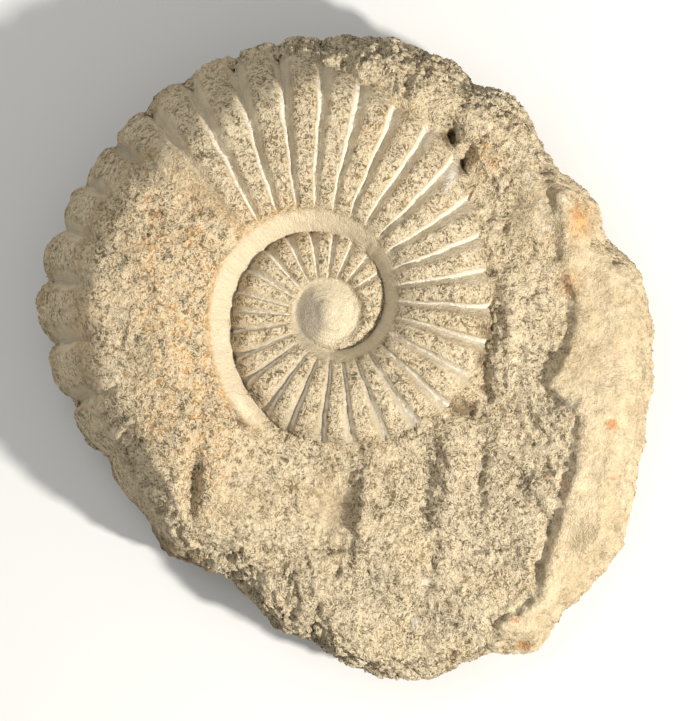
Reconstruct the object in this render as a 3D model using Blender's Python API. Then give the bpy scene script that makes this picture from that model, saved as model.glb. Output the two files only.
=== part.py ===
"""A fossil ammonite in its block of limestone, lying face up on a small flat spot.

The stone is one closed body. Its face carries a coiled, ribbed shell that grows by a
constant factor each turn, and the rest of the face and the sides are broken matrix.
Every point is worked out in polar form about the middle of the coil: a bearing, counted
counter-clockwise from +X as seen from above, and a distance from that middle.
An angle wound is a bearing that keeps counting up, turn after turn, as the shell grows.
Lengths in the script are millimetres and angles are degrees, unless a name says otherwise.
"""

import bpy
import numpy as np

METRES_PER_MM = 0.001
FULL_TURN = 360.0

# Driving dimensions of the coil.
GROWTH_PER_TURN = 3.02
COIL_EDGE_AT_ZERO = 21.4
WHORL_BULGE_SHARE = 0.30
WHORL_CREST = 0.45
OUTER_ROUNDING = 2.2
WALL_STEEPNESS = 4.0
NUCLEUS_TOP = 51.0
NUCLEUS_FALL = 4.0
NUCLEUS_RADII = (6.0, 10.0)

# Driving dimensions of the ribs. A depth is a share of the distance between two ribs.
RIB_DEPTH_SHARE = 0.25
RIB_LEAN = 7.5
GROOVE_HALF_WIDTH = 0.16
WIDEST_PITCH = 0.3
FEWEST_RIBS = 0.01
DEEPEST_AT_RADIUS = 62.0
FIRST_RIB = (18.0, 32.0)
RIB_FEET = (0.80, 0.93)

# How far the coil's real edge strays from the pure growth curve: (angle wound, factor).
COIL_STRAY = (
    (0, 0.97), (60, 1.04), (115, 1.04), (150, 1.0), (190, 0.945), (245, 1.01),
    (300, 0.99), (335, 1.0), (378, 0.925), (400, 0.945), (420, 1.04), (460, 1.137),
    (491, 1.04), (523, 0.997), (547, 0.917), (566, 0.846),
)

# Height of the seam that the coil's edge draws on the face: (angle wound, height).
SEAM_HEIGHTS = (
    (-400, 46), (10, 46), (130, 50), (200, 50), (270, 49), (364, 46), (420, 50),
    (460, 54), (530, 53), (566, 47), (603, 40),
)

# Which groove between two ribs lies at which angle wound: (angle wound, groove number).
GROOVE_COUNT = (
    (20, 0), (85.5, 4), (152, 8), (192, 11), (239, 14), (295, 18), (349, 22),
    (398.5, 26), (441.5, 30), (482, 34), (523, 38), (566, 41.5),
)

# The shell is bare up to here; past it a crust covers the ribs, and then it is broken off.
CRUST_FROM = 491.0
CRUST_FULL = 503.0
CRUST_EDGE = (0.10, 0.26)
SHELL_END = 608.0
SHELL_FADE = 20.0

# The ribs pass over the outer edge of the shell between these angles wound.
SIDE_RIBS = (446.0, 458.0, 566.0, 580.0)

# The stone's outline as seen from above: (bearing, distance from the coil's middle).
# From 96 to 206 it is the outer edge of the shell, and elsewhere it is broken rock.
OUTLINE = (
    (0, 120.7), (8, 116.6), (14, 107.8), (20, 107.7), (26, 105.9), (32, 101.2),
    (37, 100.6), (44, 104.2), (50, 104.7), (56, 100.8), (63, 103.0), (70, 102.5),
    (76, 103.1), (84, 101.7), (96, 101.6), (125, 102.6), (148, 103.5), (168, 108.2),
    (181, 108.0), (193, 106.3), (206, 103.6), (214, 101.6), (222, 103.4),
    (230, 105.0), (237, 110.7), (243, 107.0), (250, 106.9), (256, 111.7),
    (261, 120.5), (268, 122.6), (273, 131.5), (280, 140.2), (286, 143.4),
    (296, 142.0), (302, 149.0), (308, 143.6), (316, 142.0), (321, 141.6),
    (326, 135.7), (334, 129.3), (342, 125.0), (350, 123.6), (356, 122.2),
)

# Height at which the stone is widest: (bearing, height).
WAIST_HEIGHTS = (
    (5, 22), (35, 26), (80, 29), (130, 31), (170, 27), (205, 22), (230, 15), (262, 20),
    (285, 16), (325, 23),
)

# How far in from the outline the face starts to roll over: (bearing, distance).
ROLL_WIDTHS = (
    (0, 13), (25, 9), (50, 14), (80, 20), (110, 27), (190, 26), (215, 20), (235, 16),
    (262, 11), (285, 15), (310, 9), (335, 12),
)

# Shape of that roll: 1 is round, as on the shell, and 2 is a straight broken slope.
ROLL_POWERS = (
    (0, 1.1), (30, 1.4), (60, 1.2), (95, 1.0), (198, 1.0), (218, 1.6), (262, 1.5),
    (285, 1.2), (310, 1.4), (340, 1.1),
)

# How far the sides lean in below the waist: (bearing, distance).
TUCKS = (
    (0, 20), (30, 13), (60, 22), (100, 30), (150, 26), (200, 30), (230, 14), (262, 21),
    (285, 15), (315, 24), (340, 16),
)

# The flat spot that the stone lies on follows the outline at this share of its size,
# and from there the underside curves up to this height at the sides.
FOOT_SHARE = 0.44
UNDERSIDE_RISE = 8.0
UNDERSIDE_CURVE = 1.6

# Flat broken faces below the waist: (bearing and tilt of the face's normal, distance of
# the face from a point this high above the middle of the footprint).
BREAK_HEIGHT = 25.0
BREAKS = (
    (350, -40, 88), (302, -44, 92), (262, -46, 81), (218, -34, 84), (165, -46, 82),
    (118, -40, 88), (62, -36, 87), (28, -52, 80),
)
BREAK_START = 15.0

# Heights of the bare matrix face at places on it: (x, y, height), measured like the
# outline from the coil's middle.
MATRIX_SPOTS = (
    (31, 91, 59), (53, 81, 56), (49, 61, 50), (69, 66, 52), (57, 42, 47), (87, 42, 51),
    (111, 4, 46), (119, -18, 43), (99, -33, 51), (102, -70, 48), (87, -100, 43),
    (69, -3, 46), (65, -52, 42), (57, -93, 41), (35, -126, 35), (27, -78, 44),
    (1, -108, 41), (-25, -108, 36), (1, -70, 46), (-38, -70, 49), (-59, -84, 44),
    (37, -54, 44),
)
SPOT_REACH = 20.0
SPOT_CORE = 0.15

# Rounded lumps and hollows on the matrix: (x, y, height, half width along x, along y).
LUMPS = (
    (-32, -70, 5.0, 12, 15), (0, -72, -3.0, 9, 12), (69, -7, 3.5, 4, 14),
    (59, -15, -3.0, 4, 20), (37, -78, -3.0, 5, 28), (52, -66, 2.5, 6, 22),
)

# The matrix lies this far over the coil's edge, and further where it is heaped on it.
OVERLAP = 2.0
HEAPED_OVERLAP = 14.0
HEAPED_SPAN = (418.0, 432.0, 446.0, 458.0)
MATRIX_EDGE_SLOPE = 2.0
EDGE_BLEND = (-2.5, 0.5)

# Columns round the stone, and rows over each stretch of one column.
COLUMNS = 240
FACE_ROWS = 60
ROLL_ROWS = 10
TUCK_ROWS = 7
UNDERSIDE_ROWS = 6
KEPT_SHARE = 0.228
SHARP_ABOVE = 50.0

LIMESTONE = (0.50, 0.42, 0.30, 1.0)
STONE_ROUGHNESS = 0.9


def between(pairs, at, period=None):
    """Values read from a short list of (place, value) pairs, by straight lines."""
    places, values = np.array(pairs, float).T
    return np.interp(at, places, values, period=period)


def eased(low, high, at):
    """0 below low, 1 above high, and a smooth step between them."""
    share = np.clip((at - low) / (high - low), 0.0, 1.0)
    return share * share * (3.0 - 2.0 * share)


def within(span, at):
    """1 inside a span of (start, full, ends, gone), and 0 outside it."""
    start, full, ends, gone = span
    return eased(start, full, at) * (1.0 - eased(ends, gone, at))


def coil_edge(wound):
    """Radius of the coil's outer edge after winding through this angle."""
    return COIL_EDGE_AT_ZERO * GROWTH_PER_TURN ** (wound / FULL_TURN) * between(COIL_STRAY, wound)


def place_on_coil(bearing, radius):
    """The angle wound at a point, and how far in it lies from the whorl's edge (0) to its seam (1)."""
    wound = bearing - 2 * FULL_TURN
    for turn in (-1, 0, 1):
        later = bearing + turn * FULL_TURN
        wound = np.where(radius > coil_edge(later - FULL_TURN), later, wound)
    outer = coil_edge(wound)
    inner = coil_edge(wound - FULL_TURN)
    return wound, np.clip((outer - radius) / (outer - inner), 0.0, 1.0)


def last_wound(bearing):
    """The angle wound of the last whorl that the stone keeps at each bearing."""
    return np.where(bearing < SHELL_END - FULL_TURN, bearing + FULL_TURN, bearing)


def rib_pitch(wound):
    """The angle from one rib to the next, in radians."""
    ribs_per_degree = between(GROOVE_COUNT, wound + 0.5) - between(GROOVE_COUNT, wound - 0.5)
    return np.minimum(np.radians(1.0 / np.maximum(ribs_per_degree, FEWEST_RIBS)), WIDEST_PITCH)


def rib_relief(wound, across, radius):
    """How far each point sinks below the rib crests: deepest along the grooves."""
    number = between(GROOVE_COUNT, wound - RIB_LEAN * across**2)
    off_groove = np.abs(number - np.round(number))
    bare = eased(*FIRST_RIB, wound) * (1.0 - eased(*RIB_FEET, across))
    crust = eased(CRUST_FROM, CRUST_FULL, wound) * eased(*CRUST_EDGE, across)
    depth = RIB_DEPTH_SHARE * rib_pitch(wound) * np.minimum(radius, DEEPEST_AT_RADIUS)
    return depth * np.exp(-((off_groove / GROOVE_HALF_WIDTH) ** 2)) * bare * (1.0 - crust)


def shell_height(wound, across, radius):
    """Height of the shell: each whorl bulges up from its seams, and the nucleus is a low dome."""
    seams = between(SEAM_HEIGHTS, wound) * (1.0 - across)
    seams = seams + between(SEAM_HEIGHTS, wound - FULL_TURN) * across
    from_edge = np.clip(1.0 - across / WHORL_CREST, 0.0, 1.0)
    from_crest = np.clip((across - WHORL_CREST) / (1.0 - WHORL_CREST), 0.0, 1.0)
    section = (1.0 - from_edge**OUTER_ROUNDING) * (1.0 - from_crest**WALL_STEEPNESS)
    width = coil_edge(wound) - coil_edge(wound - FULL_TURN)
    whorls = seams + WHORL_BULGE_SHARE * width * section - rib_relief(wound, across, radius)
    nucleus = NUCLEUS_TOP - NUCLEUS_FALL * (radius / NUCLEUS_RADII[1]) ** 2
    outside_nucleus = eased(*NUCLEUS_RADII, radius)
    return whorls * outside_nucleus + nucleus * (1.0 - outside_nucleus)


def matrix_height(bearing, radius):
    """Height of the bare rock: a smooth sheet through the spots, with lumps on it."""
    x = radius * np.cos(np.radians(bearing))
    y = radius * np.sin(np.radians(bearing))
    total = np.zeros_like(x)
    weights = np.zeros_like(x)
    for spot_x, spot_y, height in MATRIX_SPOTS:
        distance = ((x - spot_x) ** 2 + (y - spot_y) ** 2) / SPOT_REACH**2
        weight = 1.0 / (distance + SPOT_CORE) ** 2
        total = total + weight * height
        weights = weights + weight
    sheet = total / weights
    for lump_x, lump_y, height, half_x, half_y in LUMPS:
        off = ((x - lump_x) / half_x) ** 2 + ((y - lump_y) / half_y) ** 2
        sheet = sheet + height * np.exp(-off)
    return sheet


def face_height(bearing, radius):
    """Height of the stone's face before its edge rolls over: the higher of shell and matrix."""
    wound, across = place_on_coil(bearing, radius)
    matrix = matrix_height(bearing, radius)
    outermost = last_wound(bearing)
    inside = coil_edge(outermost) - radius
    on_shell = eased(*EDGE_BLEND, inside) * (1.0 - eased(SHELL_END - SHELL_FADE, SHELL_END, wound))
    shell = shell_height(wound, across, radius) * on_shell + matrix * (1.0 - on_shell)
    overlap = OVERLAP + (HEAPED_OVERLAP - OVERLAP) * within(HEAPED_SPAN, outermost)
    sunk = MATRIX_EDGE_SLOPE * np.maximum(inside - overlap, 0.0) * on_shell
    return np.maximum(shell, matrix - sunk)


def side_groove(bearing):
    """Depth of the ribs' grooves where they pass over the shell's outer edge."""
    wound = last_wound(bearing)
    return rib_relief(wound, np.zeros_like(wound), coil_edge(wound)) * within(SIDE_RIBS, wound)


def rows_of_points():
    """Rows of points from the middle of the face over the edge to the foot, and the waist's height."""
    bearing = np.arange(COLUMNS) * FULL_TURN / COLUMNS
    outline = between(OUTLINE, bearing, FULL_TURN)
    waist = between(WAIST_HEIGHTS, bearing, FULL_TURN)
    roll = between(ROLL_WIDTHS, bearing, FULL_TURN)
    power = between(ROLL_POWERS, bearing, FULL_TURN)
    inner_edge = outline - between(TUCKS, bearing, FULL_TURN)
    foot = FOOT_SHARE * outline
    groove = side_groove(bearing)
    rows = []
    for share in np.linspace(0.0, 1.0, FACE_ROWS + 1)[1:]:
        radius = (outline - roll) * share
        rows.append((radius, face_height(bearing, radius)))
    for angle in np.radians(np.linspace(90.0, 0.0, ROLL_ROWS + 1)[1:]):
        out = np.cos(angle) ** power
        up = np.abs(np.sin(angle)) ** power
        radius = outline - roll + roll * out
        rows.append((radius - groove * out, waist + (face_height(bearing, radius) - waist) * up))
    for angle in np.radians(np.linspace(0.0, 90.0, TUCK_ROWS + 1)[1:]):
        radius = inner_edge + (outline - inner_edge) * np.cos(angle)
        height = waist + (UNDERSIDE_RISE - waist) * np.sin(angle)
        rows.append((radius - groove * np.cos(angle) ** 2, height))
    for share in np.linspace(0.0, 1.0, UNDERSIDE_ROWS + 1)[1:]:
        radius = inner_edge + (foot - inner_edge) * share
        rows.append((radius, UNDERSIDE_RISE * (1.0 - share) ** UNDERSIDE_CURVE + 0.0 * radius))
    x_side = np.cos(np.radians(bearing))
    y_side = np.sin(np.radians(bearing))
    return [np.stack([r * x_side, r * y_side, h], axis=1) for r, h in rows], waist


def broken_flat(points, waist):
    """Moves what stands past each broken face back onto it, below the waist."""
    below = np.clip((waist - points[:, 2]) / BREAK_START, 0.0, 1.0)
    for bearing, tilt, distance in BREAKS:
        turn, lean = np.radians(bearing), np.radians(tilt)
        normal = np.array([np.cos(turn) * np.cos(lean), np.sin(turn) * np.cos(lean), np.sin(lean)])
        past = (points - [0.0, 0.0, BREAK_HEIGHT]) @ normal - distance
        points = points - (np.maximum(past, 0.0) * below)[:, None] * normal
    return points


def stone_mesh():
    """The stone as one closed mesh, in metres, with the middle of its footprint at the origin.

    It also returns which of its points the flat spot has.
    """
    rows, waist = rows_of_points()
    middle = np.array([[0.0, 0.0, NUCLEUS_TOP]])
    points = np.concatenate([middle, *rows])
    footprint_middle = (points.min(axis=0) + points.max(axis=0)) / 2
    points = points - [footprint_middle[0], footprint_middle[1], 0.0]
    points = broken_flat(points, np.concatenate([[0.0], np.tile(waist, len(rows))]))
    faces = []
    for column in range(COLUMNS):
        after = (column + 1) % COLUMNS
        faces.append((0, 1 + column, 1 + after))
        for row in range(len(rows) - 1):
            near = 1 + row * COLUMNS
            far = near + COLUMNS
            faces.append((near + column, far + column, far + after, near + after))
    foot_points = range(1 + (len(rows) - 1) * COLUMNS, 1 + len(rows) * COLUMNS)
    faces.append(tuple(reversed(foot_points)))
    mesh = bpy.data.meshes.new("fossil_ammonite")
    mesh.from_pydata((points * METRES_PER_MM).tolist(), [], faces)
    return mesh, foot_points


def limestone_material():
    material = bpy.data.materials.new("limestone")
    material.use_nodes = True
    surface = material.node_tree.nodes["Principled BSDF"]
    surface.inputs["Base Color"].default_value = LIMESTONE
    surface.inputs["Roughness"].default_value = STONE_ROUGHNESS
    surface.inputs["Metallic"].default_value = 0.0
    return material


def build_stone():
    mesh, foot_points = stone_mesh()
    stone = bpy.data.objects.new("fossil_ammonite", mesh)
    bpy.context.scene.collection.objects.link(stone)
    mesh.materials.append(limestone_material())
    mesh.shade_smooth()
    mesh.set_sharp_from_angle(angle=np.radians(SHARP_ABOVE))
    thinned = stone.vertex_groups.new(name="all_but_the_foot")
    thinned.add([v for v in range(len(mesh.vertices)) if v not in foot_points], 1.0, "ADD")
    fewer = stone.modifiers.new("fewer_triangles", "DECIMATE")
    fewer.ratio = KEPT_SHARE
    fewer.vertex_group = thinned.name


for leftover in list(bpy.data.objects):
    bpy.data.objects.remove(leftover)
build_stone()
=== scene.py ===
"""The looks of a fossil ammonite in its block of limestone, seen from straight above.

The stone is one closed piece. A blank of broken limestone is laid out first, in polar form
about the middle of the coil. A node tree then winds the ribbed shell into its face, and a
second one breaks up the surface. The limestone's colours follow marks stored on the mesh,
and some of these marks paint shade: brown in cracks, pits and shaded hollows, and grey on
the ribs' gentle flanks and in a crescent at the coil's middle.
Lengths are millimetres and angles are degrees, unless a name says otherwise.
A bearing is counted counter-clockwise from +X as seen from above, and an angle wound is a
bearing that keeps counting up, turn after turn, as the shell grows.
"""

import bpy
import numpy as np
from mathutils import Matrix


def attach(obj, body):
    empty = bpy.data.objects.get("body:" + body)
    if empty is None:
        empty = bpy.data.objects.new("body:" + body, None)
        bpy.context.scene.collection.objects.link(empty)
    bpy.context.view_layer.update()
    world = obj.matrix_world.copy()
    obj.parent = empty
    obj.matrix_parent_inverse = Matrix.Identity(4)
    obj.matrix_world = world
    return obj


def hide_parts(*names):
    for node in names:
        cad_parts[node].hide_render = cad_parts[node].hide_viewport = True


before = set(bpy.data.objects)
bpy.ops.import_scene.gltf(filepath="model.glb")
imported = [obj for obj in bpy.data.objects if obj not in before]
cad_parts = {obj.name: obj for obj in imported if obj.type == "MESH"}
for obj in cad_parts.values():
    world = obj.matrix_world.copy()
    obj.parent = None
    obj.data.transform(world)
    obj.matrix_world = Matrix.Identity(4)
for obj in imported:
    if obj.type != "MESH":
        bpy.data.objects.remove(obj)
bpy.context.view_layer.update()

MM = 0.001
FULL_TURN = 360.0
SEED = 7

# Driving dimensions of the coil.
GROWTH_PER_TURN = 3.02
COIL_EDGE_AT_ZERO = 21.4
WHORL_BULGE_SHARE = 0.30
WHORL_CREST = 0.45
OUTER_ROUNDING = 3.2
WALL_STEEPNESS = 3.4
SMOOTH_WALL = (0.84, 0.93)

# The smooth middle of the coil, with a rough spot in its centre.
NUCLEUS_TOP = 51.0
NUCLEUS_FALL = 4.0
NUCLEUS_RADII = (11.0, 15.0)
SMOOTH_CENTRE = (11.0, 14.0)
ROUGH_SPOT = (1.5, 5.0)
ROUGH_SPOT_SIZE = 3.5
ROUGH_SPOT_HEIGHT = 1.6

# The ribs. Widths and wavers are shares of the pitch from one groove to the next.
RIB_DEPTH_SHARE = 0.31
RIB_LEAN = 7.5
RIB_START = (18.0, 32.0)
RIB_END = (560.0, 574.0)
RIB_FEET = (0.80, 0.93)
RIB_WAVER = 0.22
RIB_WAVER_SIZE = 9.0
RIB_CREST = 0.45
CREST_SHARE = 0.15
STEEP_FLANK = 0.15
GENTLE_FLANK = 0.30
FLANK_CURVE = 1.4
FLANK_WIDENING = 0.3
PITCH_SPAN = 3.0
WIDEST_PITCH = 0.3
FEWEST_RIBS = 0.01
DEEPEST_AT_RADIUS = 66.0

# How far the coil's real edge strays from the pure growth curve: (angle wound, factor).
COIL_STRAY = (
    (0, 0.97), (60, 1.04), (115, 1.04), (150, 1.0), (190, 0.945), (245, 1.01),
    (300, 0.99), (335, 1.0), (378, 0.925), (400, 0.945), (420, 1.04), (460, 1.137),
    (491, 1.04), (523, 0.997), (547, 0.917), (566, 0.846),
)

# Height of the seam that the coil's edge draws on the face: (angle wound, height).
SEAM_HEIGHTS = (
    (-400, 46), (10, 46), (100, 49), (150, 53), (205, 53.5), (250, 51), (280, 48.5),
    (364, 46), (420, 50), (460, 54), (530, 53), (566, 47), (603, 40),
)

# Which groove between two ribs lies at which angle wound: (angle wound, groove number).
GROOVE_COUNT = (
    (20, 0), (54, 2), (85.5, 4), (118.5, 6), (152, 8), (168, 9), (180, 10), (192, 11),
    (208, 12), (221.5, 13), (239, 14), (252, 15), (268, 16), (281, 17), (295, 18),
    (322, 20), (349, 22), (374, 24), (398.5, 26), (421, 28), (441.5, 30), (461, 32),
    (482, 34), (502, 36), (523, 38), (534, 39), (547, 40), (560, 41), (574, 42),
)

# The shell is bare up to where a crust covers it, and its ribs show on the side for a while
# longer, before it is broken off. The crust starts this share of the way in from the edge.
CRUST_SPAN = (489.0, 505.0)
CRUST_EDGE = (0.10, 0.26)
SHELL_END = 608.0
SHELL_FADE = 20.0
SIDE_RIBS = (446.0, 458.0, 566.0, 580.0)

# The stone's outline as seen from above: (bearing, distance from the coil's middle).
OUTLINE = (
    (0, 120.7), (8, 116.6), (14, 107.8), (20, 107.7), (26, 105.9), (32, 101.2),
    (37, 100.6), (44, 104.2), (50, 104.7), (56, 100.8), (63, 103.0), (70, 102.5),
    (76, 103.1), (84, 101.7), (96, 101.6), (125, 102.6), (148, 103.5), (168, 108.2),
    (181, 108.0), (193, 106.3), (206, 103.6), (214, 101.6), (222, 103.4),
    (230, 105.0), (237, 110.7), (243, 107.0), (250, 106.9), (256, 111.7),
    (261, 120.5), (268, 122.6), (273, 131.5), (280, 140.2), (286, 143.4),
    (296, 142.0), (302, 149.0), (308, 143.6), (316, 142.0), (321, 141.6),
    (326, 135.7), (334, 129.3), (342, 125.0), (350, 123.6), (356, 122.2),
)

# The side's shape, by bearing: height where the stone is widest, how far in the face starts
# to roll over, how straight that roll is (1 is round), and how far the side leans in below.
WAIST_HEIGHTS = (
    (5, 22), (35, 26), (80, 29), (130, 31), (170, 27), (205, 22), (230, 15), (262, 20),
    (285, 16), (325, 23),
)
ROLL_WIDTHS = (
    (0, 13), (25, 9), (50, 14), (80, 20), (110, 27), (190, 26), (215, 20), (235, 16),
    (262, 11), (285, 15), (310, 9), (335, 12),
)
ROLL_POWERS = (
    (0, 1.1), (30, 1.4), (60, 1.2), (95, 1.0), (198, 1.0), (218, 1.6), (262, 1.5),
    (285, 1.2), (310, 1.4), (340, 1.1),
)
TUCKS = (
    (0, 20), (30, 13), (60, 22), (100, 30), (150, 26), (200, 30), (230, 14), (262, 21),
    (285, 15), (315, 24), (340, 16),
)
FOOT_SHARE = 0.44
UNDERSIDE_RISE = 8.0
UNDERSIDE_CURVE = 1.6

# Flat broken faces below the waist: (bearing and tilt of the face's normal, distance of
# the face from a point this high above the middle of the footprint).
BREAK_HEIGHT = 25.0
BREAKS = (
    (350, -40, 88), (302, -44, 92), (262, -46, 81), (218, -34, 84), (165, -46, 82),
    (118, -40, 88), (62, -36, 87), (28, -52, 80),
)
BREAK_START = 15.0

# Heights of the bare rock's face: (x, y, height) from the coil's middle.
ROCK_SPOTS = (
    (31, 91, 59), (53, 81, 56), (49, 61, 50), (69, 66, 52), (57, 42, 47), (87, 42, 51),
    (111, 4, 46), (119, -18, 43), (99, -33, 51), (102, -70, 48), (87, -100, 43),
    (69, -3, 46), (65, -52, 42), (57, -93, 41), (35, -126, 35), (27, -78, 44),
    (1, -108, 41), (-25, -108, 36), (1, -70, 46), (-38, -70, 49), (-59, -84, 44),
    (37, -54, 44),
)
SPOT_REACH = 20.0
SPOT_CORE = 0.15

# Lumps and hollows on the rock: (x, y, height, half width, half length, turn of the length).
LUMPS = (
    (-32, -71, 6.0, 12, 14, 0), (1, -74, -5.0, 10, 14, 0), (13.5, -74, 3.4, 1.8, 15, 6),
    (-10, -72, 2.2, 2, 12, -4), (1, -89.5, -3.0, 11, 1.6, 0), (-50, -66, -8.0, 3.4, 13, 8),
    (-78, -46, 2.5, 9, 5, 40), (-62, -20, 2.5, 8, 10, 0), (-66, 20, 3.0, 10, 8, 0),
    (-50, 40, -2.0, 6, 8, 0), (-88, 4, 2.0, 6, 12, 0), (-56, -48, 2.5, 9, 6, 20),
    (69, -4, 3.0, 2.6, 14, 0),
    (59, -15, -3.0, 4, 20, 0), (37, -78, -3.0, 5, 28, 0), (46, -59, 3.0, 3.5, 12, 0),
    (45.5, 65.5, -9.0, 3.6, 5.0, 20), (50.5, 55, -9.0, 3.2, 5.4, 20), (47, 54, 2.0, 1.2, 5, 20),
    (-31, -41, -4.5, 2.4, 6.0, -15), (51, -37, -3.5, 6, 4, 0), (15, -103, -3.5, 5, 8, 0),
    (52, -118, 1.8, 9, 5, 10), (90, -37, 1.5, 4.5, 3.5, 0), (57, -60, -2.5, 3, 14, 0),
    (72, -68, -2.0, 4, 12, -35), (82, -78, -2.0, 4, 10, -50),
)

# Inner edge of the smooth pale band on the right: (y, x) from the coil's middle.
BAND_EDGE = (
    (-140, 50), (-118, 64), (-108, 78), (-86, 84), (-71, 88), (-60, 92), (-48, 93),
    (-39, 95), (-33, 87), (-28, 82), (-18, 87), (-7, 92), (4, 92), (19, 87), (42, 85),
    (57, 81), (72, 75),
)
BAND_STEP = 4.0
BAND_STEP_RISE = (-2.0, 3.0)
BAND_STEP_FALL = (-14.0, 16.0)
BAND_FADE = (-8.0, 8.0)

# How far the bare rock reaches in over the coil's edge, and where it is heaped over the
# last whorl: from, full, still full and gone, as angles wound.
OVERLAP = 2.0
HEAPED_OVERLAP = 14.0
HEAPED_SPAN = (418.0, 432.0, 446.0, 458.0)
ROCK_EDGE_SLOPE = 2.0
EDGE_BLEND = (-2.5, 0.5)
COVER_BLEND = (-0.4, 0.4)

# Roughness of the broken rock: how wide and how high.
LUMP_SIZE, LUMP_RELIEF = 12.0, 7.0
FLAKE_SIZE, FLAKE_RELIEF = 6.5, 5.0
GRIT_SIZE, GRIT_RELIEF = 2.2, 1.8
WORN_SIZE, WORN_RELIEF = 3.2, 1.5
MEAN_FLAKE = 0.74
LAYER_STRETCH = (0.35, 0.35, 1.3)
BAND_CALM = 0.72
SMOOTH_CALM = 0.75
CRUST_CALM = (0.55, 0.3)
STEEP_EXTRA = 2.2
STEEP_FROM = (0.0, 0.35)
STEEP_TO = (0.75, 0.98)

# Cells across the face of the blank, rows down its side, and the triangles that are kept.
FACE_CELLS = 360
ROLL_ROWS = 54
TUCK_ROWS = 26
UNDERSIDE_ROWS = 30
KEPT_TRIANGLES = 196000
ON_FACE = 1000.0

# The camera looks straight down: what it aims at, how high the face lies under it, how far
# off it stands, and how long a stretch of the face the picture's height takes in.
AIM = (1.5, -0.2)
FACE_HEIGHT = 45.0
CAMERA_DISTANCE = 1600.0
PICTURE_HEIGHT = 270.4
SENSOR_HEIGHT = 24.0
FLOOR_REACH = 3000.0


def between(pairs, at, period=None):
    """Values read from a short list of (place, value) pairs, by straight lines."""
    places, values = np.array(pairs, float).T
    return np.interp(at, places, values, period=period)


def eased(low, high, at):
    """0 below low, 1 above high, and a smooth step between them."""
    share = np.clip((at - low) / (high - low), 0.0, 1.0)
    return share * share * (3.0 - 2.0 * share)


def hump(x, y, at_x, at_y, half_width, half_length, turn):
    """1 at a place, falling off smoothly over its half width and half length."""
    lean = np.radians(turn)
    along = (y - at_y) * np.cos(lean) + (x - at_x) * np.sin(lean)
    aside = (x - at_x) * np.cos(lean) - (y - at_y) * np.sin(lean)
    return np.exp(-((aside / half_width) ** 2) - (along / half_length) ** 2)


def lump_height(x, y):
    """How far the single lumps and hollows stand out of the rock's face."""
    total = np.zeros_like(x)
    for at_x, at_y, height, half_width, half_length, turn in LUMPS:
        total += height * hump(x, y, at_x, at_y, half_width, half_length, turn)
    return total


def rock_height(x, y):
    """Height of the bare rock's face: a smooth sheet through the spots, with lumps on it."""
    total = np.zeros_like(x)
    weights = np.zeros_like(x)
    for spot_x, spot_y, height in ROCK_SPOTS:
        distance = ((x - spot_x) ** 2 + (y - spot_y) ** 2) / SPOT_REACH**2
        weight = 1.0 / (distance + SPOT_CORE) ** 2
        total += weight * height
        weights += weight
    sheet = total / weights + lump_height(x, y)
    right_of_band = x - between(BAND_EDGE, y)
    step = eased(*BAND_STEP_RISE, right_of_band) - eased(*BAND_STEP_FALL, right_of_band)
    return sheet + BAND_STEP * step


def disc_places(cells):
    """A square grid's points pulled out to a disc: share of its radius, bearing, and its rim."""
    side = np.linspace(-1.0, 1.0, cells + 1)
    east, north = np.meshgrid(side, side, indexing="ij")
    share = np.maximum(np.abs(east), np.abs(north))
    by_column = np.abs(east) >= np.abs(north)
    safe_east = np.where(east == 0.0, 1.0, east)
    safe_north = np.where(north == 0.0, 1.0, north)
    turn = np.where(by_column, 45.0 * north / safe_east, 90.0 - 45.0 * east / safe_north)
    turn = turn + np.where(np.where(by_column, east, north) < 0.0, 180.0, 0.0)
    share, bearing = share.ravel(), np.mod(turn.ravel(), FULL_TURN)
    rim = np.flatnonzero(share == 1.0)
    return share, bearing, rim[np.argsort(bearing[rim])]


def broken_flat(points, waist):
    """Moves what stands past each broken face back onto it, below the waist."""
    below = np.clip((waist - points[:, 2]) / BREAK_START, 0.0, 1.0)
    for bearing, tilt, distance in BREAKS:
        turn, lean = np.radians(bearing), np.radians(tilt)
        level = np.cos(lean)
        normal = np.array([np.cos(turn) * level, np.sin(turn) * level, np.sin(lean)])
        past = (points - [0.0, 0.0, BREAK_HEIGHT]) @ normal - distance
        points = points - (np.maximum(past, 0.0) * below)[:, None] * normal
    return points


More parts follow.
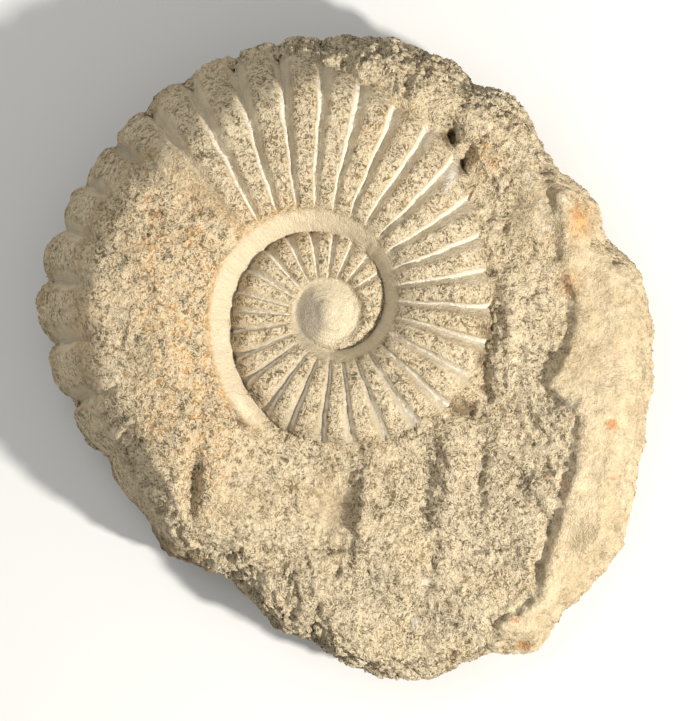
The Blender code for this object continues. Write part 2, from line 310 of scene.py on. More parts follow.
def blank_points():
    """The blank's points in polar form, and which of them are the rim of its face.

    up is 1 on the face and falls to 0 where the stone is widest. low is the height that the
    roll falls to there, and below it the point's own height. side is how far out on the side
    a point lies, for the ribs that show there.
    """
    share, bearing, rim = disc_places(FACE_CELLS)
    outline = between(OUTLINE, bearing, FULL_TURN)
    radius = (outline - between(ROLL_WIDTHS, bearing, FULL_TURN)) * share
    none = np.zeros_like(radius)
    parts = [(bearing, radius, none + 1.0, none, none)]
    bearing = bearing[rim]
    outline = outline[rim]
    waist = between(WAIST_HEIGHTS, bearing, FULL_TURN)
    roll = between(ROLL_WIDTHS, bearing, FULL_TURN)
    power = between(ROLL_POWERS, bearing, FULL_TURN)
    inner_edge = outline - between(TUCKS, bearing, FULL_TURN)
    foot = FOOT_SHARE * outline
    none = np.zeros_like(outline)
    for angle in np.radians(np.linspace(90.0, 0.0, ROLL_ROWS + 1)[1:]):
        out = np.cos(angle) ** power
        up = np.abs(np.sin(angle)) ** power
        parts.append((bearing, outline - roll + roll * out, up, waist, out))
    for angle in np.radians(np.linspace(0.0, 90.0, TUCK_ROWS + 1)[1:]):
        low = waist + (UNDERSIDE_RISE - waist) * np.sin(angle)
        out = inner_edge + (outline - inner_edge) * np.cos(angle)
        parts.append((bearing, out, none, low, none + np.cos(angle) ** 2))
    for step in np.linspace(0.0, 1.0, UNDERSIDE_ROWS + 1)[1:]:
        low = none + UNDERSIDE_RISE * (1.0 - step) ** UNDERSIDE_CURVE
        parts.append((bearing, inner_edge + (foot - inner_edge) * step, none, low, none))
    bearing, radius, up, low, side = (np.concatenate(column) for column in zip(*parts))
    return bearing, radius, up, low, side, rim


def blank_faces(rim, rows):
    """Quads of the face grid, then quads from its rim down the side, then the foot."""
    count = FACE_CELLS + 1
    cells = np.arange(FACE_CELLS)
    corner = (cells[:, None] * count + cells[None, :]).ravel()
    grid = np.stack([corner, corner + count, corner + count + 1, corner + 1], axis=1)
    around = np.arange(len(rim))
    rings = [rim] + [count * count + row * len(rim) + around for row in range(rows)]
    quads = [grid]
    for near, far in zip(rings[:-1], rings[1:]):
        quads.append(np.stack([near, far, np.roll(far, -1), np.roll(near, -1)], axis=1))
    return np.concatenate(quads), rings[-1][::-1]


def stone_blank():
    """The block of limestone before the shell is wound into its face, with its marks.

    It is centred on its footprint, so where the coil's middle comes to lie is returned too.
    """
    bearing, radius, up, low, side, rim = blank_points()
    x, y = radius * np.cos(np.radians(bearing)), radius * np.sin(np.radians(bearing))
    rock = rock_height(x, y)
    points = np.stack([x, y, low + (rock - low) * up], axis=1)
    middle = (points.min(axis=0) + points.max(axis=0)) / 2
    points -= [middle[0], middle[1], 0.0]
    waist = between(WAIST_HEIGHTS, bearing, FULL_TURN)
    points = broken_flat(points, waist - ON_FACE * (up > 0))
    low = np.where(up > 0, low, points[:, 2])
    quads, foot = blank_faces(rim, ROLL_ROWS + TUCK_ROWS + UNDERSIDE_ROWS)
    mesh = bpy.data.meshes.new("ammonite_stone")
    mesh.from_pydata((points * MM).tolist(), [], quads.tolist() + [foot.tolist()])
    mesh.shade_smooth()
    marks = {"up": up, "low": low, "side": side, "rock": rock, **region_marks(x, y)}
    for name, values in marks.items():
        mark = mesh.attributes.new(name, "FLOAT", "POINT")
        mark.data.foreach_set("value", values.astype(np.float32))
    stone = bpy.data.objects.new("ammonite_stone", mesh)
    bpy.context.scene.collection.objects.link(stone)
    return stone, (-middle[0], -middle[1], 0.0)


# Where the rock differs, and where shade is painted, from the coil's middle:
# (x, y, half width, half length, turn, strength).
OCHRE_AREAS = (
    (-58, 28, 22, 26, 0, 0.8), (-50, -8, 22, 30, 0, 0.9), (-48, -42, 22, 18, 0, 0.8),
    (-16, 34, 16, 10, 0, 0.7), (60, 58, 8, 9, 0, 0.9), (94, 33, 5, 8, 0, 0.8),
    (90, 10, 5, 6, 0, 0.8), (-48, -70, 10, 12, 0, 0.6), (20, 60, 14, 20, 0, 0.5),
    (-90, -8, 8, 16, 0, 0.5),
)
# Grey rock. The entry at (-6.4, -2.3) is painted shade: the grey crescent on the slope of the coil's
# middle that faces away from the key light.
GREY_AND_SHADE_AREAS = (
    (15, -112, 28, 12, 0, 0.7), (78, -3, 10, 18, 0, 0.6), (-30, -72, 14, 14, 0, 0.5),
    (40, -60, 24, 26, 0, 0.9), (66, -74, 18, 22, 0, 0.8), (15, -98, 8, 12, 0, 0.8),
    (-26, -52, 12, 10, 0, 0.5), (-6.4, -2.3, 4.5, 9, 0, 1.6), (48, -118, 12, 5, 8, 1.0),
    (90, -36, 6, 5, 0, 1.0),
    (20, 96, 16, 8, 0, 0.6), (-80, 60, 20, 8, 45, 0.5),
)
# Painted shade: brown laid into the pits and hollows, the trench beside the last whorl and the
# lower-left edge, where the stone faces away from the key light.
PAINTED_SHADE_AREAS = (
    (45.5, 65.5, 4.5, 5.5, 20, 1.2), (50.5, 55, 4, 6, 20, 1.2), (58, -14, 5, 18, 0, 0.8),
    (51, -37, 8, 5, 0, 1.0), (66, 40, 8, 10, 0, 0.5), (66, -8, 10, 12, 0, 0.4),
    (-31, -41, 3.5, 7, -15, 0.9), (-96, -40, 6, 12, 30, 0.6), (-76, -78, 8, 34, -45, 0.9),
    (-48, -96, 8, 16, -60, 0.9), (46, -26, 3, 8, 0, 0.5), (6, 44, 14, 6, 0, 0.5),
)
CHALK_AREAS = (
    (-38, -8, 3, 28, 4, 0.55), (46, 50, 4, 9, 15, 0.9), (34, -118, 5, 4, 0, 0.7),
    (107, -35, 3, 3, 0, 0.6), (102, -57, 3, 4, 0, 0.6), (98, -82, 3, 9, 35, 0.5),
    (91, -93, 3, 5, 30, 0.5), (20, -110, 4, 3, 0, 0.5), (36, -102, 5, 5, 0, 0.8),
    (80, 32, 9, 13, 0, 0.55), (76, 50, 8, 8, 0, 0.5), (30, -36, 8, 4, 10, 0.6),
    (40, -32, 5, 5, 0, 0.6),
)
RUST_AREAS = (
    (107, -42, 4, 3, 0, 1.0), (89, -65, 2.5, 4, 0, 1.0), (107, -62, 3, 2, 0, 0.8),
    (83, -62, 3, 2, 0, 0.9), (70, -116, 3, 2.5, 0, 0.9), (74, -124, 4, 2, 0, 0.9),
    (92, 36, 3, 5, 0, 0.8), (90, 10, 2.5, 5, 0, 0.9), (-8, -108, 5, 4, 0, 0.7),
    (36, -118, 2.5, 2.5, 0, 0.8), (62, 57, 4, 5, 0, 0.8), (-60, -66, 3, 3, 0, 0.8),
)
SMOOTH_AREAS = (
    (1, -74, 9, 13, 0, 1.0), (-31, -70, 10, 12, 0, 0.5), (-2, 22, 14, 6, 0, 0.6),
    (80, 40, 10, 15, 0, 0.7), (88, 70, 10, 12, 0, 0.4), (-96, -4, 8, 30, 0, 0.5),
)
MARKS = {
    "smooth": SMOOTH_AREAS, "ochre": OCHRE_AREAS, "grey": GREY_AND_SHADE_AREAS, "painted_shade": PAINTED_SHADE_AREAS,
    "chalk": CHALK_AREAS, "rust": RUST_AREAS,
}


def region_marks(x, y):
    """How strongly each kind of rock, and each patch of painted shade, shows at each point."""
    marks = {}
    for name, areas in MARKS.items():
        total = np.zeros_like(x)
        for at_x, at_y, half_width, half_length, turn, strength in areas:
            total += strength * hump(x, y, at_x, at_y, half_width, half_length, turn)
        marks[name] = total
    marks["lumps"] = lump_height(x, y)
    marks["band"] = eased(*BAND_FADE, x - between(BAND_EDGE, y))
    return marks


class Field:
    """A quantity that varies over the stone: one output socket of a node tree."""

    def __init__(self, maker, socket):
        self.maker = maker
        self.socket = socket

    def __add__(self, other):
        return self.maker.math("ADD", self, other)

    def __sub__(self, other):
        return self.maker.math("SUBTRACT", self, other)

    def __rsub__(self, other):
        return self.maker.math("SUBTRACT", other, self)

    def __mul__(self, other):
        return self.maker.math("MULTIPLY", self, other)

    def __truediv__(self, other):
        return self.maker.math("DIVIDE", self, other)

    def __rtruediv__(self, other):
        return self.maker.math("DIVIDE", other, self)

    def __pow__(self, power):
        return self.maker.math("POWER", self, power)

    def __abs__(self):
        return self.maker.math("ABSOLUTE", self)

    __radd__ = __add__
    __rmul__ = __mul__

    def clipped(self):
        """Kept between 0 and 1."""
        return self.maker.math("ADD", self, 0.0, use_clamp=True)


class Maker:
    """Writes one node tree, of a shape or of a material, from sums and named parts."""

    def __init__(self, tree):
        self.tree = tree

    def node(self, kind, **settings):
        node = self.tree.nodes.new(kind)
        for name, value in settings.items():
            setattr(node, name, value)
        return node

    def feed(self, socket, value):
        if isinstance(value, Field):
            self.tree.links.new(value.socket, socket)
        else:
            socket.default_value = value

    def made(self, kind, inputs, output=0, **settings):
        """A new node's output, with its inputs fed by name or by number."""
        node = self.node(kind, **settings)
        for key, value in inputs.items():
            self.feed(node.inputs[key], value)
        return Field(self, node.outputs[output])

    def math(self, operation, *values, **settings):
        inputs = dict(enumerate(values))
        return self.made("ShaderNodeMath", inputs, operation=operation, **settings)

    def least(self, first, second):
        return self.math("MINIMUM", first, second)

    def most(self, first, second):
        return self.math("MAXIMUM", first, second)

    def above(self, value, limit):
        return self.math("GREATER_THAN", value, limit)

    def blended(self, share, none, full):
        """The first value at share 0, and the second at share 1."""
        return none + (full - none) * share

    def eased(self, low, high, at):
        """0 below low, 1 above high, and a smooth step between them."""
        inputs = {"Value": at, "From Min": low, "From Max": high}
        return self.made("ShaderNodeMapRange", inputs, interpolation_type="SMOOTHSTEP")

    def between(self, pairs, at):
        """The value read from a short list of (place, value) pairs, by straight lines."""
        first, last = pairs[0][0], pairs[-1][0]
        lowest = min(value for _, value in pairs)
        rise = max(value for _, value in pairs) - lowest
        node = self.node("ShaderNodeFloatCurve")
        curve = node.mapping.curves[0]
        for place, value in pairs[1:-1]:
            curve.points.new((place - first) / (last - first), (value - lowest) / rise)
        curve.points[0].location = (0.0, (pairs[0][1] - lowest) / rise)
        curve.points[-1].location = (1.0, (pairs[-1][1] - lowest) / rise)
        for point in curve.points:
            point.handle_type = "VECTOR"
        node.mapping.update()
        self.feed(node.inputs["Value"], (at - first) / (last - first))
        return Field(self, node.outputs[0]) * rise + lowest

    def vector(self, x, y, z):
        return self.made("ShaderNodeCombineXYZ", {0: x, 1: y, 2: z})

    def parts(self, vector):
        node = self.node("ShaderNodeSeparateXYZ")
        self.feed(node.inputs[0], vector)
        return [Field(self, socket) for socket in node.outputs]

    def vectors(self, operation, *values, **named):
        inputs = {**dict(enumerate(values)), **named}
        return self.made("ShaderNodeVectorMath", inputs, operation=operation)

    def noise(self, place, size, seed=0.0, detail=2.0, roughness=0.5, bend=0.0):
        """Smooth noise from 0 to 1, with lumps about this wide."""
        inputs = {"Vector": place, "W": seed + SEED, "Scale": 1.0 / size}
        inputs.update({"Detail": detail, "Roughness": roughness, "Distortion": bend})
        return self.made("ShaderNodeTexNoise", inputs, noise_dimensions="4D")

    def ridges(self, place, size, seed=0.0, detail=2.0, roughness=0.5, bend=0.0):
        """Noise from 0 to 1 with sharp crests at 1."""
        even = self.noise(place, size, seed, detail, roughness, bend)
        return 1.0 - abs(even * 2.0 - 1.0)

    def mixed(self, share, none, full, blend="MIX"):
        """One colour laid over another by its share."""
        inputs = {0: share, 6: none, 7: full}
        return self.made("ShaderNodeMix", inputs, 2, data_type="RGBA", blend_type=blend)


class ShapeMaker(Maker):
    """Writes a tree that changes the stone's shape, with named inputs."""

    SOCKETS = {float: "NodeSocketFloat", tuple: "NodeSocketVector"}

    def __init__(self, name, **inputs):
        tree = bpy.data.node_groups.new(name, "GeometryNodeTree")
        super().__init__(tree)
        sockets = tree.interface
        sockets.new_socket("Geometry", in_out="INPUT", socket_type="NodeSocketGeometry")
        self.values = {label.replace("_", " "): value for label, value in inputs.items()}
        for label, value in self.values.items():
            sockets.new_socket(label, in_out="INPUT", socket_type=self.SOCKETS[type(value)])
        sockets.new_socket("Geometry", in_out="OUTPUT", socket_type="NodeSocketGeometry")
        entry = self.node("NodeGroupInput")
        self.inputs = {
            name: Field(self, entry.outputs[label]) for name, label in zip(inputs, self.values)
        }
        self.shape = Field(self, entry.outputs["Geometry"])
        place = Field(self, self.node("GeometryNodeInputPosition").outputs[0])
        self.place = self.vectors("SCALE", place, Scale=1.0 / MM)
        self.normal = Field(self, self.node("GeometryNodeInputNormal").outputs[0])

    def mark(self, name):
        """A mark that is stored on the mesh."""
        return self.made("GeometryNodeInputNamedAttribute", {"Name": name}, data_type="FLOAT")

    def reshape(self, kind, **inputs):
        """Passes the shape through a node that changes it."""
        self.shape = self.made(kind, {"Geometry": self.shape, **inputs})

    def store(self, name, value):
        self.reshape("GeometryNodeStoreNamedAttribute", Name=name, Value=value)

    def move_to(self, place):
        self.reshape("GeometryNodeSetPosition", Position=self.vectors("SCALE", place, Scale=MM))

    def layered_on_sides(self, x, y, z, up):
        """The place for a pattern that lies in flat layers on the sides, and not on the face."""
        across, along, upwards = LAYER_STRETCH
        layered = self.vector(x * across, y * along, z * upwards)
        inputs = {"Factor": up, 4: layered, 5: self.place}
        return self.made("ShaderNodeMix", inputs, 1, data_type="VECTOR")

    def run_on(self, stone, limestone):
        """Ends the tree and puts it on the stone with its sizes set."""
        self.reshape("GeometryNodeRealizeInstances")
        self.reshape("GeometryNodeSetMaterial", Material=limestone)
        self.feed(self.node("NodeGroupOutput").inputs["Geometry"], self.shape)
        modifier = stone.modifiers.new(self.tree.name, "NODES")
        modifier.node_group = self.tree
        for item in self.tree.interface.items_tree:
            if item.in_out == "INPUT" and item.name in self.values:
                modifier[item.identifier] = self.values[item.name]


def coil_edge(m, wound):
    """Radius of the coil's outer edge after winding through this angle."""
    grown = m.math("POWER", m.inputs["Growth_per_turn"], wound / FULL_TURN)
    return grown * m.inputs["Edge_radius_at_zero"] * m.between(COIL_STRAY, wound)


def angle_wound(m, radius, bearing):
    """How far the coil has wound when its outer edge next passes outside a point."""
    edges = [coil_edge(m, bearing + turn * FULL_TURN) for turn in (-2, -1, 0)]
    turns = sum((m.above(radius, edge) for edge in edges), -2.0)
    return bearing + turns * FULL_TURN


def whorl_section(m, across):
    """Height of a whorl from its outer seam (0) in to its inner one (1), as a share."""
    crest = m.inputs["Whorl_crest"]
    from_edge = (1.0 - across / crest).clipped()
    from_crest = ((across - crest) / (1.0 - crest)).clipped()
    return (1.0 - from_edge**OUTER_ROUNDING) * (1.0 - from_crest**WALL_STEEPNESS)


def rib_profile(m, number, across):
    """How near a groove's floor a point is, how deep it lies, and its share of the gentle flank."""
    passed = m.math("FRACT", number)
    widened = 1.0 + (1.0 - across) * FLANK_WIDENING
    steep = (1.0 - passed / (m.inputs["Steep_flank"] * widened)).clipped()
    gentle = (1.0 - (1.0 - passed) / (m.inputs["Gentle_flank"] * widened)).clipped()
    near = m.most(steep, gentle)
    rounded = abs(passed - RIB_CREST) * 2.0
    deep = near**FLANK_CURVE * (1.0 - CREST_SHARE) + rounded * rounded * CREST_SHARE
    return near, deep, gentle


def rib_pitch(m, wound):
    """Angle from one groove to the next, in radians."""
    ahead = m.between(GROOVE_COUNT, wound + PITCH_SPAN / 2)
    behind = m.between(GROOVE_COUNT, wound - PITCH_SPAN / 2)
    ribs = m.most(ahead - behind, FEWEST_RIBS)
    return m.least(float(np.radians(PITCH_SPAN)) / ribs, WIDEST_PITCH)


def within(m, span, wound):
    """1 between the middle two of four angles wound, and 0 outside the outer two."""
    start, full, ends, gone = span
    return m.eased(start, full, wound) * (1.0 - m.eased(ends, gone, wound))


def nucleus_height(m, radius):
    """Height of the smooth middle of the coil, with its rough spot."""
    dome = NUCLEUS_TOP - NUCLEUS_FALL * (radius / NUCLEUS_RADII[1]) ** 2.0
    bumps = m.noise(m.place, ROUGH_SPOT_SIZE, 15.0, 3.0) * ROUGH_SPOT_HEIGHT
    return dome + bumps * (1.0 - m.eased(*ROUGH_SPOT, radius))


def wind_shell(stone, coil_middle, limestone):
    """Winds the ribbed shell into the face of the blank, and stores what is where."""
    m = ShapeMaker(
        "coiled ribbed shell",
        Coil_middle=coil_middle,
        Growth_per_turn=GROWTH_PER_TURN,
        Edge_radius_at_zero=COIL_EDGE_AT_ZERO,
        Whorl_bulge=WHORL_BULGE_SHARE,
        Whorl_crest=WHORL_CREST,
        Rib_depth=RIB_DEPTH_SHARE,
        Rib_lean=RIB_LEAN,
        Steep_flank=STEEP_FLANK,
        Gentle_flank=GENTLE_FLANK,
    )
    growth = m.inputs
    x, y, z = m.parts(m.vectors("SUBTRACT", m.place, growth["Coil_middle"]))
    radius = m.most(m.math("SQRT", x * x + y * y), 0.01)
    bearing = m.math("ARCTAN2", y, x) * float(np.degrees(1.0))
    bearing = m.math("FLOORED_MODULO", bearing, FULL_TURN)
    up, low, side, rock = (m.mark(name) for name in ("up", "low", "side", "rock"))

    wound = angle_wound(m, radius, bearing)
    outer = coil_edge(m, wound)
    width = outer - coil_edge(m, wound - FULL_TURN)
    across = ((outer - radius) / width).clipped()
    outer_seam = m.between(SEAM_HEIGHTS, wound)
    inner_seam = m.between(SEAM_HEIGHTS, wound - FULL_TURN)
    whorl = growth["Whorl_bulge"] * width * whorl_section(m, across)

    waver = (m.noise(m.place, RIB_WAVER_SIZE, 3.0) - 0.5) * RIB_WAVER
    leaned = wound - growth["Rib_lean"] * across * across
    number = m.between(GROOVE_COUNT, leaned) + waver
    near, deep, gentle = rib_profile(m, number, across)
    full_depth = growth["Rib_depth"] * rib_pitch(m, wound)
    crust = m.eased(*CRUST_SPAN, wound) * m.eased(*CRUST_EDGE, across)
    ribbed = m.eased(*RIB_START, wound) * (1.0 - m.eased(*RIB_FEET, across))
    ribbed = ribbed * (1.0 - crust) * (1.0 - m.eased(*RIB_END, wound))
    ribs = full_depth * m.least(radius, DEEPEST_AT_RADIUS) * deep * ribbed
    shell = m.blended(across, outer_seam, inner_seam) + whorl - ribs + m.mark("lumps") * crust
    shell = m.blended(m.eased(*NUCLEUS_RADII, radius), nucleus_height(m, radius), shell)

    # The last whorl's edge is where the bare rock starts, or reaches in over the shell.
    last_wound = bearing + m.math("LESS_THAN", bearing, SHELL_END - FULL_TURN) * FULL_TURN
    inside = coil_edge(m, last_wound) - radius
    unbroken = 1.0 - m.eased(SHELL_END - SHELL_FADE, SHELL_END, wound)
    on_shell = m.eased(*EDGE_BLEND, inside) * unbroken
    shell = m.blended(on_shell, rock, shell)
    heaped = within(m, HEAPED_SPAN, last_wound)
    overlap = OVERLAP + (HEAPED_OVERLAP - OVERLAP) * heaped
    sunk = rock - ROCK_EDGE_SLOPE * m.most(inside - overlap, 0.0) * on_shell
    face = m.most(shell, sunk)
    cover = on_shell * m.eased(*COVER_BLEND, shell - sunk)

    # The ribs run on down the side. Below the widest part the blank's own height stays.
    side_number = m.between(GROOVE_COUNT, last_wound) + waver
    _, side_deep, _ = rib_profile(m, side_number, 0.0)
    side_ribs = full_depth * DEEPEST_AT_RADIUS * side_deep * side
    slim = 1.0 - side_ribs * within(m, SIDE_RIBS, last_wound) / radius
    on_face = m.above(up, 0.0)
    moved = m.vector(x * slim, y * slim, m.blended(on_face, z, m.blended(up, low, face)))

    m.store("rib_number", number)
    m.store("across", across)
    m.store("groove", near * ribbed * cover)
    m.store("gentle", gentle * ribbed * cover)
    m.store("shell", cover * (1.0 - crust) * on_face)
    m.store("crust", on_shell * crust)
    smooth = m.most(m.eased(*SMOOTH_WALL, across), 1.0 - m.eased(*SMOOTH_CENTRE, radius))
    m.store("smooth_wall", cover * smooth)
    m.move_to(m.vectors("ADD", moved, growth["Coil_middle"]))
    m.run_on(stone, limestone)


def break_surface(stone, limestone):
    """Breaks the smooth surface up into rough rock, crust and worn ribs."""
    m = ShapeMaker(
        "broken surface",
        Lump_size=LUMP_SIZE,
        Lump_height=LUMP_RELIEF,
        Flake_size=FLAKE_SIZE,
        Flake_height=FLAKE_RELIEF,
        Grit_size=GRIT_SIZE,
        Grit_height=GRIT_RELIEF,
    )
    sizes = m.inputs
    up, shell, groove, band = (m.mark(name) for name in ("up", "shell", "groove", "band"))
    crust, wall = m.mark("crust"), m.mark("smooth_wall")
    rock = 1.0 - m.most(shell, wall)
    calm = (1.0 - band * BAND_CALM * up) * (1.0 - m.mark("smooth") * SMOOTH_CALM)
    steep = m.eased(*STEEP_FROM, up) * (1.0 - m.eased(*STEEP_TO, up))
    crust_lumps, crust_flakes = CRUST_CALM

    lumps = (m.noise(m.place, sizes["Lump_size"], 1.0, 3.0) - 0.5) * sizes["Lump_height"]
    layered = m.layered_on_sides(*m.parts(m.place), up)
    flaked = m.ridges(layered, sizes["Flake_size"], 2.0, 3.0, 0.55, 0.4)
    flakes = (flaked - MEAN_FLAKE) * sizes["Flake_height"]
    grit = (m.noise(m.place, sizes["Grit_size"], 5.0, 3.0, 0.65) - 0.5) * sizes["Grit_height"]
    worn = (m.noise(m.place, WORN_SIZE, 6.0, 3.0, 0.65) - 0.5) * (1.0 - groove) * WORN_RELIEF

    rough = lumps * (1.0 - crust_lumps * crust)
    rough = rough + flakes * calm * (1.0 - crust_flakes * crust + STEEP_EXTRA * steep)
    offset = (rough + grit * calm) * rock + worn * shell
    # How deep a point lies in a crack, which the material darkens as painted shade.
    m.store("crack_shade", (1.0 - flaked) * rock)
    moved = m.vectors("ADD", m.place, m.vectors("SCALE", m.normal, Scale=offset))
    x, y, z = m.parts(moved)
    m.move_to(m.vector(x, y, m.most(z, 0.0)))
    m.run_on(stone, limestone)


def colour(red, green, blue):
    """A colour given in the usual 0 to 255, as the linear colour that a material takes."""
    shares = np.array([red, green, blue]) / 255.0
    linear = np.where(shares > 0.04045, ((shares + 0.055) / 1.055) ** 2.4, shares / 12.92)
    return (*linear.tolist(), 1.0)


CREAM = colour(226, 211, 182)
TAN = colour(188, 166, 130)
GREY_STONE_AND_SHADE = colour(160, 151, 134)
# GREY_STONE_AND_SHADE is grey rock and scratched stone, and also painted shade on the ribs' gentle
# flanks.
BAND = colour(206, 188, 156)
OLIVE = colour(122, 109, 82)
PATINA = colour(134, 113, 78)
OCHRE = colour(214, 166, 102)
# BROWN_STAIN_AND_SHADE is brown stain and speck, and also painted shade in cracks, pits and hollows.
BROWN_STAIN_AND_SHADE = colour(112, 92, 64)
SOOT = colour(84, 78, 68)
CHALK = colour(236, 230, 216)
RUST = colour(200, 132, 72)
DARK_GRAIN = colour(170, 164, 152)
PALE_GRAIN = colour(255, 253, 248)


class StoneColours(Maker):
    """Writes the limestone's material from the marks stored on the mesh."""

    def __init__(self, tree):
        super().__init__(tree)
        place = Field(self, self.node("ShaderNodeTexCoord").outputs["Object"])
        self.place = self.vectors("SCALE", place, Scale=1.0 / MM)
        warp = {"Vector": self.place, "Scale": 0.12, "Detail": 3.0}
        warp = self.made("ShaderNodeTexNoise", warp, 1)
        self.warped = self.vectors("ADD", self.place, self.vectors("SCALE", warp, Scale=5.0))
        self.blotch = self.noise(self.warped, 4.5, 2.0, 4.0, 0.62)
        self.speck = self.noise(self.place, 1.5, 3.0, 3.0, 0.65, 0.6)
        self.thread = self.ridges(self.place, 2.4, 7.0, 3.0, 0.6, 1.2)
        self.grain = self.noise(self.place, 0.5, 4.0, 2.0, 0.6)
        self.band = self.most(self.mark("band"), self.mark("smooth"))
        self.shell = self.mark("shell")
        self.groove = self.mark("groove")
        self.gentle = self.mark("gentle")
        self.wall = self.mark("smooth_wall")
        self.cleaned = self.most(self.groove * self.shell, self.wall)
        number, across = self.mark("rib_number"), self.mark("across")
        scratched = self.vector(number * 24.0, across * 9.0, 0.0)
        self.tooled = self.noise(scratched, 1.0, 11.0, 3.0, 0.7)

    def mark(self, name):
        return self.made("ShaderNodeAttribute", {}, "Fac", attribute_name=name)

    def varied(self, value, by_blotch, by_speck):
        """A value made uneven by blotches and specks."""
        return value + (self.blotch - 0.5) * by_blotch + (self.speck - 0.5) * by_speck

    def patchy(self, name, low, high):
        """A mark with a ragged edge."""
        return self.eased(low, high, self.varied(self.mark(name), 1.4, 0.8))

    def rock_body(self):
        """Tan to cream rock, with its grey, ochre and rusty regions."""
        broad = self.noise(self.warped, 14.0, 1.0, 4.0, 0.6)
        body = self.mixed(self.eased(0.40, 0.58, broad), TAN, CREAM)
        body = self.mixed(self.band * 0.7, body, BAND)
        # The grey mark is grey rock, and at the coil's middle a crescent of painted shade.
        body = self.mixed(self.patchy("grey", 0.3, 0.9) * 0.8, body, GREY_STONE_AND_SHADE)
        ochre = self.eased(0.05, 0.9, self.mark("ochre") + (self.blotch - 0.5) * 0.7)
        body = self.mixed(ochre * 0.9, body, OCHRE)
        return self.mixed(self.patchy("rust", 0.4, 0.85) * 0.85, body, RUST)

    def stained(self, body):
        """Olive and brown stains and specks on the ribs' crests and on rough rock."""
        crest = self.shell * (1.0 - self.eased(0.1, 0.5, self.groove)) * (1.0 - self.wall)
        bare_rock = (1.0 - self.shell) * (1.0 - self.wall) * (1.0 - self.band * 0.75)
        rough = self.most(crest, bare_rock)
        stain = self.eased(0.49, 0.60, self.noise(self.warped, 8.0, 21.0, 5.0, 0.72))
        body = self.mixed(stain * rough * 0.8, body, OLIVE)
        patina = self.eased(0.42, 0.58, self.noise(self.place, 3.4, 31.0, 4.0, 0.72, 0.9))
        body = self.mixed(patina * self.most(crest * 0.85, rough * 0.55), body, PATINA)
        olive = self.eased(0.44, 0.58, self.blotch + (self.speck - 0.5) * 0.7)
        body = self.mixed(olive * rough * 0.7, body, OLIVE)
        brown = self.eased(0.55, 0.68, self.speck + (self.blotch - 0.5) * 0.4)
        body = self.mixed(brown * rough * 0.55, body, BROWN_STAIN_AND_SHADE)
        body = self.mixed(self.eased(0.80, 0.95, self.thread) * rough * 0.8, body, CREAM)
        soot = self.eased(0.57, 0.64, self.speck * 0.6 + self.blotch * 0.45)
        return self.mixed(soot * rough * 0.55, body, SOOT)

    def shade_in_cracks(self, body):
        """Painted shade: brown in the cracks, the pits and the hollows, and on the lower-left edge.
        """
        # Painted shade in the cracks, deepest where the crack mark is high.
        cracks = self.eased(0.24, 0.56, self.mark("crack_shade") + (self.speck - 0.5) * 0.5)
        body = self.mixed(cracks * (1.0 - 0.6 * self.band) * 0.75, body, BROWN_STAIN_AND_SHADE)
        # Painted shade: brown from the listed patches in pits, hollows and on the lower-left edge.
        return self.mixed(self.patchy("painted_shade", 0.4, 1.1) * 0.75, body, BROWN_STAIN_AND_SHADE)

    def cleaned_out(self, body):
        """Pale scratched stone in the grooves and on the coil's walls, painted grey shade on the
        ribs' gentle flanks, and chalky chips.
        """
        # The grey mark greys the scratched stone, which paints the shaded crescent at the coil's
        # middle.
        clean = self.eased(0.0, 0.7, self.tooled - self.mark("grey") * 0.5)
        clean_stone = self.mixed(clean, GREY_STONE_AND_SHADE, CREAM)
        share = self.eased(0.3, 0.75, self.cleaned + (self.speck - 0.5) * 0.6)
        body = self.mixed(share, body, clean_stone)
        # Painted shade: grey on the ribs' gentle flanks, which face away from the key light.
        body = self.mixed(self.gentle * 0.55, body, GREY_STONE_AND_SHADE)
        steep = (self.groove * self.shell - self.gentle * 0.6) * (1.0 - self.mark("side"))
        body = self.mixed(self.eased(0.3, 0.8, steep), body, CHALK)
        return self.mixed(self.patchy("chalk", 0.5, 1.0) * 0.9, body, CHALK)

    def fine_relief(self):
        """Pits, grains and scratches too small for the mesh, as a normal."""
        pits = self.speck * 0.9 + self.thread * 0.5
        fine = pits * (1.0 - 0.6 * self.cleaned) * (1.0 - 0.4 * self.band)
        fine = fine + self.grain * 0.3 + self.tooled * self.cleaned * 0.12
        inputs = {"Strength": 0.9, "Distance": 0.0022, "Height": fine}
        return self.made("ShaderNodeBump", inputs)


def limestone_material():
    """Mottled tan and grey limestone, cleaned to pale stone in the grooves, with painted shade in its
    cracks, pits and hollows and on the ribs' gentle flanks.
    """
    material = bpy.data.materials.new("mottled limestone")
    material.use_nodes = True
    material.node_tree.nodes.clear()
    m = StoneColours(material.node_tree)
    body = m.cleaned_out(m.shade_in_cracks(m.stained(m.rock_body())))
    body = m.mixed(0.75, body, m.mixed(m.grain, DARK_GRAIN, PALE_GRAIN), "MULTIPLY")
    surface = m.node("ShaderNodeBsdfPrincipled")
    m.feed(surface.inputs["Base Color"], body)
    m.feed(surface.inputs["Normal"], m.fine_relief())
    surface.inputs["Roughness"].default_value = 0.86
    surface.inputs["Specular IOR Level"].default_value = 0.25
    output = m.node("ShaderNodeOutputMaterial")
    m.feed(output.inputs["Surface"], Field(m, surface.outputs[0]))
    return material


def made_plain(stone):
    """The stone as a plain mesh, with its trees and modifiers worked out."""
    work_out(stone)
    triangles = sum(len(face.vertices) - 2 for face in stone.data.polygons)
    if triangles > KEPT_TRIANGLES:
        fewer = stone.modifiers.new("fewer triangles", "DECIMATE")
        fewer.ratio = KEPT_TRIANGLES / triangles
        work_out(stone)
    stone.data.name = "ammonite_stone"
    stone.data.shade_smooth()


def work_out(stone):
    """Turns what the modifiers make into the stone's own mesh."""
    graph = bpy.context.evaluated_depsgraph_get()
    evaluated = stone.evaluated_get(graph)
    mesh = bpy.data.meshes.new_from_object(evaluated, depsgraph=graph)
    stone.modifiers.clear()
    stone.data = mesh


def linked(name, data):
    """A new object in the scene."""
    made = bpy.data.objects.new(name, data)
    bpy.context.scene.collection.objects.link(made)
    return made


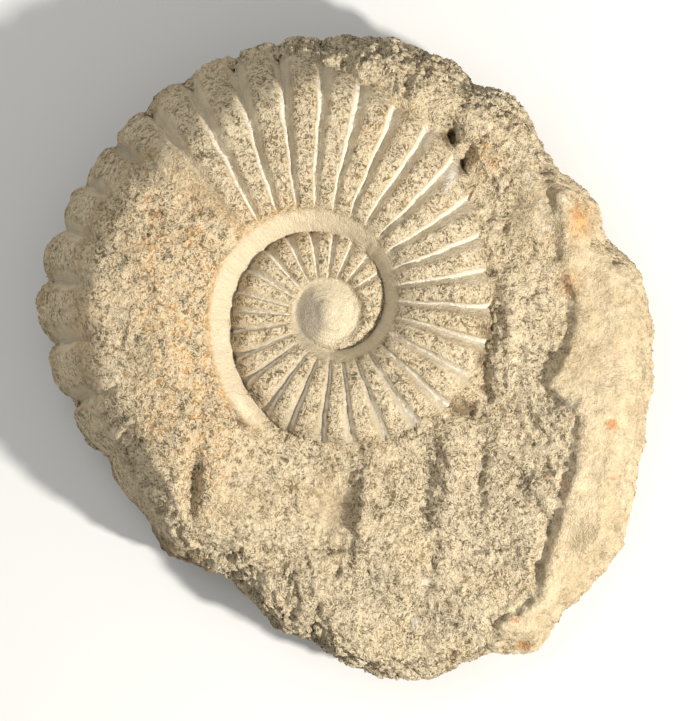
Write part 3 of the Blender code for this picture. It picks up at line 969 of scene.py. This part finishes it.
def add_floor():
    """A plain pale floor."""
    reach = FLOOR_REACH * MM
    corners = [(-reach, -reach, 0.0), (reach, -reach, 0.0), (reach, reach, 0.0), (-reach, reach, 0.0)]
    mesh = bpy.data.meshes.new("floor")
    mesh.from_pydata(corners, [], [(0, 1, 2, 3)])
    paper = bpy.data.materials.new("pale paper")
    paper.use_nodes = True
    surface = paper.node_tree.nodes["Principled BSDF"].inputs
    surface["Base Color"].default_value = (0.52, 0.52, 0.51, 1.0)
    surface["Roughness"].default_value = 0.9
    mesh.materials.append(paper)
    linked("floor", mesh)


def light_from(name, bearing, height, distance, size, power, tint):
    """A square soft light, aimed at the stone. Its distance and size are metres."""
    data = bpy.data.lights.new(name, "AREA")
    data.size = size
    data.energy = power
    data.color = tint
    lamp = linked(name, data)
    turn, rise = np.radians(bearing), np.radians(height)
    level = distance * np.cos(rise)
    lamp.location = (level * np.cos(turn), level * np.sin(turn), distance * np.sin(rise))
    lamp.rotation_euler = (np.radians(90.0) - rise, 0.0, turn + np.radians(90.0))


def add_light():
    """A warm soft key light from the lower right, a wide fill, and an even sky."""
    light_from("key", -24.0, 41.0, 1.3, size=0.09, power=31.5, tint=(1.0, 0.965, 0.91))
    light_from("fill", 140.0, 55.0, 1.5, size=1.2, power=8.0, tint=(0.97, 0.98, 1.0))
    world = bpy.data.worlds.new("studio")
    world.use_nodes = True
    sky = world.node_tree.nodes["Background"].inputs
    sky["Color"].default_value = (1.0, 0.985, 0.95, 1.0)
    sky["Strength"].default_value = 0.60
    bpy.context.scene.world = world
    bpy.context.scene.view_settings.view_transform = "Standard"


def add_camera():
    """A camera straight above the stone."""
    data = bpy.data.cameras.new("camera")
    data.sensor_fit = "VERTICAL"
    data.sensor_height = SENSOR_HEIGHT
    data.lens = SENSOR_HEIGHT * CAMERA_DISTANCE / PICTURE_HEIGHT
    camera = linked("camera", data)
    camera.location = (AIM[0] * MM, AIM[1] * MM, (FACE_HEIGHT + CAMERA_DISTANCE) * MM)
    bpy.context.scene.camera = camera


limestone = limestone_material()
stone, coil_middle = stone_blank()
wind_shell(stone, coil_middle, limestone)
break_surface(stone, limestone)
made_plain(stone)
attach(stone, "root")
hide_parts("fossil_ammonite")
add_floor()
add_light()
add_camera()
